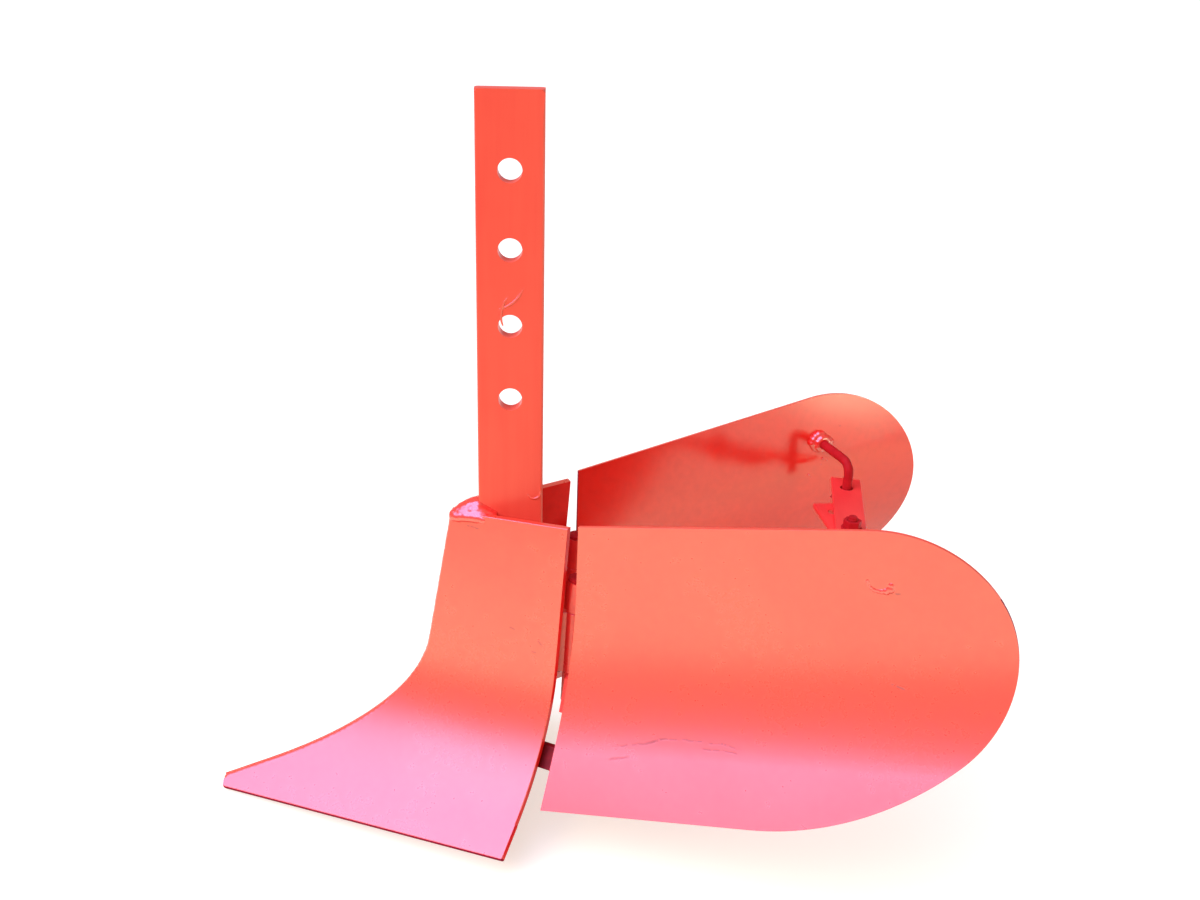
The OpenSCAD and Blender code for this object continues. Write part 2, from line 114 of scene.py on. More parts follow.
def enamel(name, tone, deep, gloss=0.29, index=2.4, streaks=None, lumpy=0.0, marks=()):
    """Thick enamel on steel: uneven depth of colour, orange peel, grit, a slow wave and rubbed marks."""
    paint = bpy.data.materials.new(name)
    paint.use_nodes = True
    tree = paint.node_tree
    shader = tree.nodes["Principled BSDF"]
    at = Tone(tree, None).make("ShaderNodeTexCoord", {}, {}, "Object")
    cloud = at.grain(11.0, 3.0)
    if streaks:
        fine = at.make("ShaderNodeMapping", {}, {"Vector": at, "Scale": streaks}).grain(1.0, 3.0, 0.6)
    else:
        fine = at.grain(150.0, 2.0)
    depth = (cloud * 0.6 + fine * 0.4).ramp(0.36, 0.66)
    peel = at.grain(700.0, 1.5)
    grit = at.grain(1100.0, 1.0).ramp(0.81, 0.86) * at.grain(38.0).ramp(0.50, 0.62)
    colour = depth.blend((*tone, 1.0), (*deep, 1.0))
    colour = (grit * 0.3).blend(colour, (0.40, 0.016, 0.012, 1.0))
    rough = gloss + (cloud - 0.5) * 0.10 + (fine - 0.5) * 0.08
    height = peel * 0.006 + fine * 0.025 + grit * 0.01 + at.grain(7.0, 1.0) * 1.6 + at.grain(90.0) * lumpy
    for mark in marks:
        line = scuff(at, **mark)
        colour = (line * 0.7).blend(colour, (0.42, 0.022, 0.014, 1.0))
        rough = rough + line * 0.2
        height = height - line * 0.06
    bump = at.make("ShaderNodeBump", {}, {"Height": height, "Strength": 1.0, "Distance": 0.0005})
    for socket, value in (("Base Color", colour), ("Roughness", rough), ("Normal", bump)):
        tree.links.new(value.socket, shader.inputs[socket])
    shader.inputs["IOR"].default_value = index
    shader.inputs["Specular Tint"].default_value = (1.0, 0.92, 0.66, 1.0)
    return paint


def flat_bar(outline, holes, thick):
    """A drilled bar on XY, thick upward: holes are (x, y, radius, half a slot's straight)."""
    bm = bmesh.new()
    corners = [bm.verts.new((x, y, 0)) for x, y in outline]
    for a, b in zip(corners, corners[1:] + corners[:1]):
        bm.edges.new((a, b))
    for x, y, radius, straight in holes:
        turn = Matrix.Translation((x, y, 0)) @ Matrix.Rotation(pi / 48, 4, "Z")
        for v in bmesh.ops.create_circle(bm, segments=48, radius=radius, matrix=turn)["verts"]:
            v.co.y += straight if v.co.y > y else -straight
    bmesh.ops.triangle_fill(bm, use_beauty=True, use_dissolve=False, edges=bm.edges[:])
    bmesh.ops.solidify(bm, geom=bm.faces[:], thickness=thick)
    bmesh.ops.translate(bm, vec=(0, 0, -min(v.co.z for v in bm.verts)), verts=bm.verts[:])
    bmesh.ops.recalc_face_normals(bm, faces=bm.faces[:])
    return bm


def round_arrises(bm, size, keep=lambda edge: True, steps=2, least=0.6):
    """Rounds the sharp edges that keep picks."""
    sharp = [e for e in bm.edges if len(e.link_faces) == 2 and e.calc_face_angle() > least and keep(e)]
    bmesh.ops.bevel(
        bm, geom=sharp, offset=size, offset_type="OFFSET", segments=steps,
        profile=0.5, affect="EDGES", material=-1, clamp_overlap=True,
    )


def put(bm, name, body, nodes, paints, even=True):
    """Makes the piece of a mesh in millimetres, on its body, in place of its nodes."""
    bmesh.ops.scale(bm, vec=(0.001, 0.001, 0.001), verts=bm.verts[:])
    for edge in bm.edges:
        edge.smooth = len(edge.link_faces) == 2 and edge.calc_face_angle() < 0.9
    mesh = bpy.data.meshes.new(name)
    bm.to_mesh(mesh)
    bm.free()
    for polygon in mesh.polygons:
        polygon.use_smooth = True
    for paint in paints:
        mesh.materials.append(paint)
    made = bpy.data.objects.new(name, mesh)
    bpy.context.scene.collection.objects.link(made)
    if even:
        flats = made.modifiers.new("flats", "WEIGHTED_NORMAL")
        flats.weight, flats.keep_sharp = 80, True
    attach(made, body)
    if nodes:
        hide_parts(*nodes)
    return made


SHANK_X, SHANK_W, SHANK_T = 58.1, 50.0, 12.0
SHANK_TOP, SHANK_FOOT, SHANK_FRONT = 590.8, 140.0, SHANK_X + SHANK_W / 2
HOLE_R, HOLE_DROP, HOLE_PITCH, HOLE_COUNT = 9.0, 57.0, 58.0, 4
ROLLED, SAWN = 2.0, 0.9
bar_half = SHANK_W / 2
bar = flat_bar(
    [(-bar_half, SHANK_FOOT), (bar_half, SHANK_FOOT), (bar_half, SHANK_TOP), (-bar_half, SHANK_TOP)],
    [(0, SHANK_TOP - HOLE_DROP - HOLE_PITCH * i, HOLE_R, 0) for i in range(HOLE_COUNT)],
    SHANK_T,
)
stand = Matrix.Translation((SHANK_X, SHANK_T / 2, 0)) @ Matrix.Rotation(pi / 2, 4, "X")
bmesh.ops.transform(bar, matrix=stand, verts=bar.verts[:])
round_arrises(bar, ROLLED, lambda e: e.calc_length() > 100, 4)
round_arrises(bar, SAWN, lambda e: e.calc_length() < 60)
bar_paint = enamel(
    "bar_enamel", (0.97, 0.094, 0.038), (0.94, 0.076, 0.031),
    gloss=0.36, index=1.6, streaks=(170.0, 170.0, 7.0),
)
put(bar, "shank_bar", "base", ["shank"], [bar_paint])


# PAINT RUNS
# Curls where the enamel sagged on the bar before it dried: thin raised lines,
# one hooked run near the foot and two long faint ones by the lower holes.

def lumps(places):
    """Overlapping drops of metal or paint: places are (centre, radius)."""
    bm = bmesh.new()
    for centre, radius in places:
        bmesh.ops.create_icosphere(bm, subdivisions=2, radius=radius, matrix=Matrix.Translation(centre))
    return bm


def fuse(made, voxel, rounds):
    """Melts the drops of a piece into one skin."""
    skin = made.modifiers.new("skin", "REMESH")
    skin.mode, skin.voxel_size, skin.use_smooth_shade = "VOXEL", voxel, True
    made.modifiers.new("flow", "SMOOTH").iterations = rounds


RUN_R, RUN_SINK = 1.25, 0.45
face_y = SHANK_T / 2 - RUN_SINK
drops = []
for x, z, radius, start, end in (
    (-18.4, 281.8, 4.8, 150.0, 350.0), (14.8, 456.1, 26.0, 200.0, 255.0), (-15.2, 426.1, 22.0, -20.0, 40.0)
):
    count = int(radians(end - start) * radius / 0.7)
    for k in range(count + 1):
        turn = radians(start + (end - start) * k / count)
        spot = (SHANK_X + x + radius * cos(turn), face_y, z + radius * sin(turn))
        drops.append((spot, RUN_R * (0.55 + 0.45 * sin(pi * k / count))))
run_paint = enamel("run_enamel", (0.97, 0.090, 0.036), (0.88, 0.060, 0.024), gloss=0.16, index=2.0)
runs = put(lumps(drops), "paint_runs", "base", [], [run_paint], even=False)
fuse(runs, 0.0003, 3)


# SHARE
# Two pressed plates that meet at the prow and open the furrow. Each is steel
# plate, straight above and flared below, cut square at the rear and ground to a
# blunt round along the lower edge.

class Pressing:
    """The section of a pressed plate: how far its outer face stands out at a height below its top edge."""

    def __init__(self, lean, upper, bend, flare, lower):
        self.lean, self.flare, self.bend = radians(lean), radians(flare), bend
        self.knee_z = -upper * cos(self.lean)
        self.centre = (upper * sin(self.lean) + bend * cos(self.lean), self.knee_z + bend * sin(self.lean))
        self.low_z = self.centre[1] - bend * sin(self.flare)
        self.low_y = self.centre[0] - bend * cos(self.flare)
        self.foot_z = self.low_z - lower * cos(self.flare)

    def out(self, z):
        if z >= self.knee_z:
            return -z * tan(self.lean)
        if z >= self.low_z:
            return self.centre[0] - sqrt(self.bend ** 2 - (z - self.centre[1]) ** 2)
        return self.low_y + (self.low_z - z) * tan(self.flare)

    def press(self, bm, thick, place):
        """Cuts the flat blank at close heights, presses it, thickens it and sets it in place."""
        steps = 30
        for k in range(steps + 1):
            bmesh.ops.bisect_plane(
                bm, geom=bm.verts[:] + bm.edges[:] + bm.faces[:], plane_no=(0, 0, 1),
                plane_co=(0, 0, self.knee_z + (self.low_z - self.knee_z) * k / steps),
            )
        for v in bm.verts:
            v.co.y = self.out(v.co.z)
        bmesh.ops.recalc_face_normals(bm, faces=bm.faces[:])
        bm.normal_update()
        if sum(f.normal.y for f in bm.faces) > 0:
            bmesh.ops.reverse_faces(bm, faces=bm.faces[:])
        bmesh.ops.solidify(bm, geom=bm.faces[:], thickness=-thick)
        bmesh.ops.recalc_face_normals(bm, faces=bm.faces[:])
        bmesh.ops.transform(bm, matrix=place, verts=bm.verts[:])


def other_side(bm):
    """The same shape for the right hand side."""
    twin = bm.copy()
    bmesh.ops.scale(twin, vec=(1, -1, 1), verts=twin.verts[:])
    bmesh.ops.reverse_faces(twin, faces=twin.faces[:])
    return twin


def paint_sides(bm, axis):
    """Outer coat on faces along axis or straight up; behind, a deeper red copy of the enamel as painted
    shade; on cut edges and downward faces, a dark copy as painted shade.
    """
    bm.normal_update()
    for f in bm.faces:
        side, up = f.normal.dot(axis), f.normal.z
        cut = up < -0.35 or side < 0.4 and up < 0.6
        f.material_index = 1 if side < -0.4 else 2 if cut else 0


SHARE_T, SHARE_ANGLE, SHARE_PITCH = 6.0, radians(25.5), radians(4.0)
PROW_X, RIM_Z, RIM_LEN, REAR_SLOPE, PROW_HALF = SHANK_X + 54.5, 263.5, 110.5, 0.11, 4.0
TIP_X = SHANK_X + 245.0
share_form = Pressing(4.3, 114.0, 163.0, 51.0, 29.0)
at_share = (
    Matrix.Translation((PROW_X, 0, RIM_Z))
    @ Matrix.Rotation(-SHARE_ANGLE, 4, "Z")
    @ Matrix.Rotation(SHARE_PITCH, 4, "Y")
)
share = bmesh.new()
foot = share_form.foot_z
share.faces.new([
    share.verts.new(p)
    for p in ((-RIM_LEN, 0, 0), (400, 0, 0), (400, 0, foot), (-RIM_LEN - REAR_SLOPE * foot, 0, foot))
])
share_form.press(share, SHARE_T, at_share)
for cut, facing in (((0, PROW_HALF, 0), (0, -1, 0)), ((TIP_X, 0, 0), (1, 0, 0))):
    bmesh.ops.bisect_plane(
        share, geom=share.verts[:] + share.edges[:] + share.faces[:],
        plane_co=cut, plane_no=facing, clear_outer=True,
    )
    bmesh.ops.contextual_create(share, geom=[e for e in share.edges if e.is_boundary])
bmesh.ops.recalc_face_normals(share, faces=share.faces[:])
GROUND, ARRIS = 1.6, 0.7
to_plate = at_share.inverted()


def above_foot(spot):
    """How far a place on the share lies above the plate's lower edge, in the plate's own frame."""
    return (to_plate @ spot).z - foot


round_arrises(share, GROUND, lambda e: max(above_foot(v.co) for v in e.verts) < 0.1, 3, 0.8)
round_arrises(
    share, ARRIS,
    lambda e: min(above_foot(v.co) for v in e.verts) > GROUND
    and max(v.co.y for v in e.verts) > PROW_HALF + 0.5,
    2, 0.8,
)
paint_sides(share, Vector((sin(SHARE_ANGLE), cos(SHARE_ANGLE), 0.3)))
# The ground lower edge and the tip's front face also take the dark edge coat: painted shade.
for f in share.faces:
    ground = f.normal.x > 0.95 or above_foot(f.calc_center_median()) < GROUND * 0.4
    f.material_index = 2 if ground else min(f.material_index, 1)
PLATE_TONE, PLATE_DEEP = (0.95, 0.060, 0.020), (0.92, 0.047, 0.017)
nicks = [
    {"origin": (0.0583, 0.0334, 0.1774), "heading": (-1.0, 0.45, -0.3), "run": 0.006, "wide": 0.0011},
    {"origin": (0.0358, 0.0447, 0.1725), "heading": (-1.0, 0.5, -0.8), "run": 0.007, "wide": 0.0012},
    {"origin": (0.0405, 0.0434, 0.1608), "heading": (-1.0, 0.5, 0.2), "run": 0.005, "wide": 0.0010},
    {"origin": (0.0928, 0.0103, 0.2554), "heading": (-11.3, 5.5, -0.6), "run": 0.013, "wide": 0.0009},
]
share_paint = enamel("share_enamel", PLATE_TONE, PLATE_DEEP)
share_marked = enamel("share_enamel_marked", PLATE_TONE, PLATE_DEEP, marks=nicks)
# Inner coat: the same enamel in a deeper red and less glossy, as painted shade on the faces turned inward.
shaded_inner_paint = enamel("inner_enamel", (0.96, 0.013, 0.009), (0.84, 0.010, 0.007), gloss=0.36, index=1.3)
# Edge coat: the same enamel in dark purple-red, as painted shade on cut edges and downward faces.
shaded_edge_paint = enamel("edge_enamel", (0.34, 0.004, 0.024), (0.24, 0.003, 0.018), gloss=0.50, index=1.1)
shaded_back_coats = [shaded_inner_paint, shaded_edge_paint]
put(other_side(share), "share_plate_right", "base", ["share_right"], [share_paint] + shaded_back_coats)
put(share, "share_plate_left", "base", ["share_left"], [share_marked] + shaded_back_coats)


# PROW, NOSE AND BAR WELDS
# Run of weld that closes the groove between the share plates, dressed nearly flush,
# the thick lumpy cap that ties the prow to the front of the bar, and the two seams
# that hold the bar between the plates.

weld_paint = enamel(
    "weld_enamel", (0.93, 0.036, 0.020), (0.88, 0.026, 0.016), gloss=0.17, index=2.5, lumpy=0.35
)


def prow_edge(z):
    """Middle of the prow, level with the plates' front edges, at a height in the plate's own frame."""
    stand = share_form.out(z)
    return Vector((
        PROW_X + (stand - PROW_HALF * cos(SHARE_ANGLE)) / sin(SHARE_ANGLE),
        0,
        RIM_Z + z / cos(SHARE_PITCH) - (stand - PROW_HALF) / tan(SHARE_ANGLE) * tan(SHARE_PITCH),
    ))


BEAD_R, BEAD_SINK, BEAD_PITCH = 5.0, 3.7, 2.0
drops = []
z, last = -3.0, None
while z > foot + 0.5:
    here = prow_edge(z)
    run = (prow_edge(z - 0.2) - here).normalized()
    centre = here + Vector((run.z, 0, -run.x)) * BEAD_SINK
    if centre.x > TIP_X - BEAD_R * 0.7:
        break
    if last is None or (here - last).length >= BEAD_PITCH:
        drops.append((centre, BEAD_R + 0.10 * sin(len(drops) * 2.3) + 0.08 * sin(len(drops) * 0.7)))
        last = here
    z -= 0.2
prow = put(lumps(drops), "prow_bead", "base", ["prow_weld"], [share_paint], even=False)
fuse(prow, 0.0009, 3)

CAP_BACK, CAP_FRONT, CAP_RISE, CAP_FALL = 12.0, 19.0, 12.0, 11.0
CAP_HALF, CAP_END, CAP_DROP, CAP_STEPS = 9.2, 1.6, 5.4, 15
drops = []
for i in range(CAP_STEPS + 1):
    x = -CAP_BACK + (CAP_BACK + CAP_FRONT) * i / CAP_STEPS
    ahead = max(x, 0) / CAP_FRONT
    behind = max(-x, 0) / CAP_BACK
    half = CAP_HALF * (1 - ahead) ** 0.8 + CAP_END + 4.0 * behind
    size = CAP_DROP - 0.4 * ahead - 1.6 * behind
    for j in range(-3, 4):
        lift = (CAP_RISE - CAP_FALL * ahead ** 1.7) * (1 - 0.07 * j * j) * (1 - 0.7 * behind)
        wander = 0.25 * sin(2.9 * i + 1.7 * j)
        spot = (SHANK_FRONT + x, half * j / 3, RIM_Z + lift + wander - size)
        drops.append((spot, size + 0.15 * sin(1.9 * i + 2.6 * j)))
for k in range(6):
    drops.append(((SHANK_FRONT + 3.0, 0, RIM_Z - 3.0 - 2.4 * k), 5.2))
cap = put(lumps(drops), "nose_cap", "base", ["nose_weld"], [weld_paint], even=False)
fuse(cap, 0.0007, 12)

SEAM_TOP, SEAM_FOOT, SEAM_STEPS = RIM_Z - 18.0, RIM_Z - 84.0, 27
SEAM_OUT, SEAM_BACK, SEAM_R = 7.9, 4.6, 3.5
drops = []
for side in (1, -1):
    for k in range(SEAM_STEPS + 1):
        wander = 0.5 * sin(k * 1.9 + side)
        height = SEAM_TOP + (SEAM_FOOT - SEAM_TOP) * k / SEAM_STEPS
        spot = (SHANK_FRONT - SEAM_BACK + wander, side * (SEAM_OUT + 0.3 * wander), height)
        drops.append((spot, SEAM_R + 0.3 * wander))
seams = put(lumps(drops), "shank_seams", "base", ["shank_welds"], [weld_paint], even=False)
fuse(seams, 0.0009, 4)


# FOOT PLATE, GAP STRAPS AND HINGE KNUCKLES
# Cut plate and rolled knuckles welded inside the share and the wings; they keep
# the shape they were cut to, with the arrises just broken by the thick enamel.

# Foot plate, pins, rods, split pins and clamp: a darker, duller copy of the same enamel, as painted shade for
# fittings that sit inside or behind the plates.
shaded_fixing_paint = enamel(
    "fixing_enamel", (0.52, 0.012, 0.011), (0.40, 0.008, 0.008), gloss=0.45, index=1.15, lumpy=0.25
)
knuckle_paint = enamel("knuckle_enamel", (0.95, 0.042, 0.022), (0.80, 0.028, 0.016), gloss=0.30, index=1.9)
# The gap straps are near black-red: painted shade, as they sit in the dark gap between share and wing.
shaded_strap_paint = enamel("strap_enamel", (0.27, 0.006, 0.006), (0.17, 0.004, 0.005), gloss=0.45, index=1.3)
for name in (
    "foot_plate", "gap_strap_left", "gap_strap_right", "share_knuckle_left", "share_knuckle_right",
    "wing_knuckles_left", "wing_knuckles_right",
):
    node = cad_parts[name]
    node.data.materials.clear()
    node.data.materials.append(
        shaded_strap_paint if "strap" in name else knuckle_paint if "knuckle" in name else shaded_fixing_paint
    )
    node.modifiers.new("join", "WELD").merge_threshold = 0.00002
    edge = node.modifiers.new("arris", "BEVEL")
    edge.width, edge.segments, edge.limit_method, edge.angle_limit = 0.0006, 2, "ANGLE", radians(40)
    node.modifiers.new("flats", "WEIGHTED_NORMAL").weight = 80


# HINGE PINS
# Turned pins that hang the wings on the share, a flat head above and the lower
# end peened over into a dome below the last knuckle.

def turned(profile, steps=48):
    """A turned piece on Z from the points (radius, height) of half its section, in order."""
    bm = bmesh.new()
    points = [bm.verts.new((r, 0, h)) for r, h in profile]
    for a, b in zip(points, points[1:] + points[:1]):
        if a.co.x > 0 or b.co.x > 0:
            bm.edges.new((a, b))
    bmesh.ops.spin(
        bm, geom=bm.verts[:] + bm.edges[:], cent=(0, 0, 0), axis=(0, 0, 1),
        angle=2 * pi, steps=steps, use_duplicate=False,
    )
    bmesh.ops.remove_doubles(bm, verts=bm.verts[:], dist=0.001)
    bmesh.ops.recalc_face_normals(bm, faces=bm.faces[:])
    return bm


HINGE_AT, HINGE_LEAN, HINGE_LEN = (SHANK_X - 50.2, 37.5, 168.0), radians(-2.5), 108.0
PIN_R, HEAD_R, HEAD_H, TAIL, KNUCKLE_GAP = 4.0, 6.5, 3.0, 5.0, 0.5
at_hinge = Matrix.Translation(HINGE_AT) @ Matrix.Rotation(HINGE_LEAN, 4, "Y")
seat, low = HINGE_LEN / 2 + KNUCKLE_GAP, -HINGE_LEN / 2 - KNUCKLE_GAP
crown = seat + HEAD_H
cap_edge = [(HEAD_R - 0.8, crown), (HEAD_R - 0.2, crown - 0.3), (HEAD_R, crown - 0.9), (HEAD_R, seat)]
peen = [
    (HEAD_R * 0.94 * cos(radians(a)), low - (TAIL - KNUCKLE_GAP) * sin(radians(a)))
    for a in (0, 15, 32, 50, 68, 80)
]
pin = turned([(0, crown)] + cap_edge + [(PIN_R, seat), (PIN_R, low)] + peen + [(0, low - TAIL + KNUCKLE_GAP)])
bmesh.ops.transform(pin, matrix=at_hinge, verts=pin.verts[:])
put(other_side(pin), "hinge_pin_right_turned", "base", ["hinge_pin_right"], [shaded_fixing_paint])
put(pin, "hinge_pin_left_turned", "base", ["hinge_pin_left"], [shaded_fixing_paint])


# WINGS
# The mouldboards that throw the soil up into ridges. Thin pressed sheet with a
# straight top, a round tail and square-cut edges, hung on the share by hinges.

WING_T, WING_ANGLE, WING_RISE = 2.5, radians(21.0), radians(10.0)
WING_AT = Vector((SHANK_X - 52.8, 53.2, 275.7))
WING_TOP, WING_DEPTH, FRONT_SLOPE = 218.5, 223.5, 0.22
TAIL_R, BELLY_R = 0.432 * WING_DEPTH, 1.208 * WING_DEPTH
wing_form = Pressing(-5.0, 55.0, 216.0, 30.5, 60.0)
at_wing = (
    Matrix.Translation(WING_AT)
    @ Matrix.Rotation(-WING_ANGLE, 4, "Z")
    @ Matrix.Rotation(WING_RISE, 4, "Y")
)
belly_z = BELLY_R - WING_DEPTH
belly_x = sqrt((BELLY_R - TAIL_R) ** 2 - (TAIL_R + belly_z) ** 2) - WING_TOP
tail_turn = atan2(-TAIL_R - belly_z, -WING_TOP - belly_x) % (2 * pi)
wing = bmesh.new()
first = wing.verts.new((0, 0, 0))
top = wing.verts.new((-WING_TOP, 0, 0))
wing.edges.new((first, top))
tail = bmesh.ops.spin(
    wing, geom=[top], cent=(-WING_TOP, 0, -TAIL_R), axis=(0, -1, 0),
    angle=tail_turn - pi / 2, steps=60, use_duplicate=False,
)["geom_last"][0]
belly = bmesh.ops.spin(
    wing, geom=[tail], cent=(belly_x, 0, belly_z), axis=(0, -1, 0),
    angle=3 * pi / 2 - tail_turn, steps=24, use_duplicate=False,
)["geom_last"][0]
toe = wing.verts.new((FRONT_SLOPE * WING_DEPTH, 0, -WING_DEPTH))
wing.edges.new((belly, toe))
wing.edges.new((toe, first))
bmesh.ops.contextual_create(wing, geom=wing.edges[:])
wing_form.press(wing, WING_T, at_wing)
round_arrises(wing, 0.5, steps=2, least=0.8)
paint_sides(wing, Vector((sin(WING_ANGLE), cos(WING_ANGLE), 0.2)))
rubs = [
    {"origin": origin, "heading": heading, "run": run, "wide": wide, "bow": bow}
    for origin, heading, run, wide, bow in (
        ((-0.0239, 0.0874, 0.1016), (-42.3, 10.9, 17.3), 0.048, 0.0011, -0.4),
        ((-0.0452, 0.0925, 0.1109), (-0.93, 0.367, 0.377), 0.088, 0.0012, -2.4),
        ((-0.0187, 0.0913, 0.0913), (-11.4, 1.9, 6.1), 0.022, 0.0010, -6.0),
        ((-0.0900, 0.1091, 0.1180), (-0.9, 0.38, 0.12), 0.036, 0.0010, -1.0),
        ((-0.2082, 0.1307, 0.2675), (-0.93, 0.36, -0.2), 0.016, 0.0012, 9.0),
        ((-0.2211, 0.1399, 0.1948), (-0.93, 0.36, 0.1), 0.015, 0.0012, -9.0),
    )
]
wing_paint = enamel("wing_enamel", PLATE_TONE, PLATE_DEEP)
wing_marked = enamel("wing_enamel_marked", PLATE_TONE, PLATE_DEEP, marks=rubs)
# The right wing's inner face takes a deeper red copy of the enamel as painted shade; the left wing's inner
# face takes the share's shaded inner copy.
shaded_wing_inner = enamel("wing_inner_enamel", (0.96, 0.014, 0.006), (0.86, 0.010, 0.005), gloss=0.17, index=1.9)
right_coats = [wing_paint, shaded_wing_inner, shaded_edge_paint]
put(other_side(wing), "wing_sheet_right", "right_wing", ["wing_right"], right_coats)
put(wing, "wing_sheet_left", "left_wing", ["wing_left"], [wing_marked, shaded_inner_paint, shaded_edge_paint])


# HOOK RODS
# Round bar bent down into a hook and welded square to the inside of each wing,
# with a fat ring of weld at the root and spatter thrown over the sheet round it.

ROD_R, ROD_ALONG, ROD_DROP, ROD_REACH, ROD_BEND, ROD_LEG = 4.0, 222.0, 42.0, 50.0, 11.0, 42.0


def on_wing(along, drop, inward):
    """Place on the wing's inner face at that distance along and below its top edge, and that far off it."""
    return at_wing @ Vector((-along, wing_form.out(-drop) - WING_T - inward, -drop))


def rod(name, points, radius, body, nodes, paint):
    """A round bar or wire along points in millimetres."""
    path = bpy.data.curves.new(name, "CURVE")
    path.dimensions, path.use_fill_caps = "3D", True
    path.bevel_depth, path.bevel_resolution = radius / 1000, 6
    line = path.splines.new("POLY")
    line.points.add(len(points) - 1)
    for spot, p in zip(line.points, points):
        spot.co = (*(Vector(p) / 1000), 1.0)
    path.materials.append(paint)
    made = bpy.data.objects.new(name, path)
    bpy.context.scene.collection.objects.link(made)
    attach(made, body)
    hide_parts(*nodes)
    return made


rod_inside = -WING_T / cos(wing_form.lean) + ROD_DROP * tan(wing_form.lean)
rod_back = ROD_ALONG * cos(WING_RISE) + ROD_DROP * sin(WING_RISE)
ROOT = Vector((
    WING_AT.x - rod_back * cos(WING_ANGLE) + rod_inside * sin(WING_ANGLE),
    WING_AT.y + rod_back * sin(WING_ANGLE) + rod_inside * cos(WING_ANGLE),
    WING_AT.z + ROD_ALONG * sin(WING_RISE) - ROD_DROP * cos(WING_RISE),
))
about = Matrix.Translation((ROOT.x, 0, ROOT.z))
tilt = about @ Matrix.Rotation(HINGE_LEAN, 4, "Y") @ about.inverted()
at_rod = tilt @ Matrix.Translation(ROOT) @ Matrix.Rotation(-WING_ANGLE, 4, "Z")
bent = [(0, 1.5, 0)]
for k in range(13):
    turn = pi / 2 * k / 12
    bent.append((0, -ROD_REACH + ROD_BEND - ROD_BEND * sin(turn), -ROD_BEND + ROD_BEND * cos(turn)))
bent.append((0, -ROD_REACH, -ROD_LEG))
mirror = Matrix.Scale(-1, 4, (0, 1, 0))
for side, flip in (("left", Matrix()), ("right", mirror)):
    rod(
        f"hook_bar_{side}", [flip @ at_rod @ Vector(p) for p in bent], ROD_R,
        f"{side}_wing", [f"hook_rod_{side}"], shaded_fixing_paint,
    )
    drops = []
    for k in range(16):
        turn = 2 * pi * k / 16
        swell = 1.0 + 0.13 * sin(2.0 * turn + 0.6) + 0.07 * sin(5.0 * k)
        drops.append((Vector((7.6 * swell * cos(turn), -0.8, 7.2 * swell * sin(turn))), 3.7 * swell))
        drops.append((Vector((5.2 * cos(turn), -4.6, 5.2 * sin(turn))), 2.9 + 0.3 * sin(3.1 * k)))
    drops = [(flip @ at_rod @ p, r) for p, r in drops]
    for along, drop, size in (
        (0, 16, 1.3), (4, 19, 0.9), (-2, 21, 0.8), (11, 46, 1.2),
        (-15, 27, 1.2), (-13, 30, 0.7), (21, -9, 0.9), (9, 62, 1.4),
    ):
        drops.append((flip @ on_wing(ROD_ALONG + along, ROD_DROP + drop, 0.25), size))
    ring = put(
        lumps(drops), f"hook_ring_{side}", f"{side}_wing", [f"hook_weld_{side}"],
        [weld_paint], even=False,
    )
    fuse(ring, 0.0005, 4)


# SPREADER STRIPS
# Two flat strips that set the width between the wings, one drilled with a row of
# holes and one slotted, sheared to length with their corners left square.

STRIP_W, STRIP_T, STRIP_TURN, STRIP_END, STRIP_LEN = 25.0, 4.0, radians(7.8), 20.0, 143.0
STRIP_Z, FACE_GAP, SPACER_T = 251.0, 0.5, 1.0
HOOK_HOLE_R, ADJUST_R, ADJUST_PITCH, SLOT_R, SLOT_NEAR, SLOT_FAR = 5.5, 4.5, 22.0, 5.25, 18.0, 46.0
hook_x = ROOT.x - ROD_REACH * sin(WING_ANGLE)
hook_y = ROOT.y - ROD_REACH * cos(WING_ANGLE)
bolt_x = hook_x + hook_y * tan(STRIP_TURN)
bolt_at = hook_y / cos(STRIP_TURN)
upper_under = STRIP_Z - STRIP_T
lower_top = upper_under - FACE_GAP - SPACER_T
lower_under = lower_top - STRIP_T
strip_outline = [
    (-STRIP_W / 2, -STRIP_LEN), (STRIP_W / 2, -STRIP_LEN),
    (STRIP_W / 2, STRIP_END), (-STRIP_W / 2, STRIP_END),
]
row = [(0, -bolt_at - ADJUST_PITCH * k, ADJUST_R, 0) for k in (-1, 0, 1, 2)]
long_slot = [(0, -bolt_at + (SLOT_NEAR - SLOT_FAR) / 2, SLOT_R, (SLOT_NEAR + SLOT_FAR) / 2)]
strip_paint = enamel(
    "strip_enamel", (0.95, 0.046, 0.028), (0.86, 0.032, 0.020),
    gloss=0.34, index=1.7, streaks=(60.0, 9.0, 60.0),
)
for side, flip, under, cuts in (("left", False, lower_under, row), ("right", True, upper_under, long_slot)):
    strip = flat_bar(strip_outline, [(0, 0, HOOK_HOLE_R, 0)] + cuts, STRIP_T)
    round_arrises(strip, 0.5)
    place = tilt @ Matrix.Translation((hook_x, hook_y, under)) @ Matrix.Rotation(STRIP_TURN, 4, "Z")
    bmesh.ops.transform(strip, matrix=place, verts=strip.verts[:])
    strip = other_side(strip) if flip else strip
    put(strip, f"spreader_{side}", f"{side}_strip", [f"strip_{side}"], [strip_paint])


# CLAMP
# The bolt that pins the strips together: hexagon head below, screwed shank, flat
# washers on both sides and between, nut above. All enamelled over after fitting.

BOLT_R, BOLT_HEAD_H, BOLT_OVER, NUT_H = 4.0, 5.3, 3.0, 6.5
HEX_R, WASHER_R, WASHER_T = 6.5 / cos(pi / 6), 8.5, 1.6
nut_z = STRIP_Z + FACE_GAP + WASHER_T
PITCH, ROOT_R = 1.25, BOLT_R - 0.55


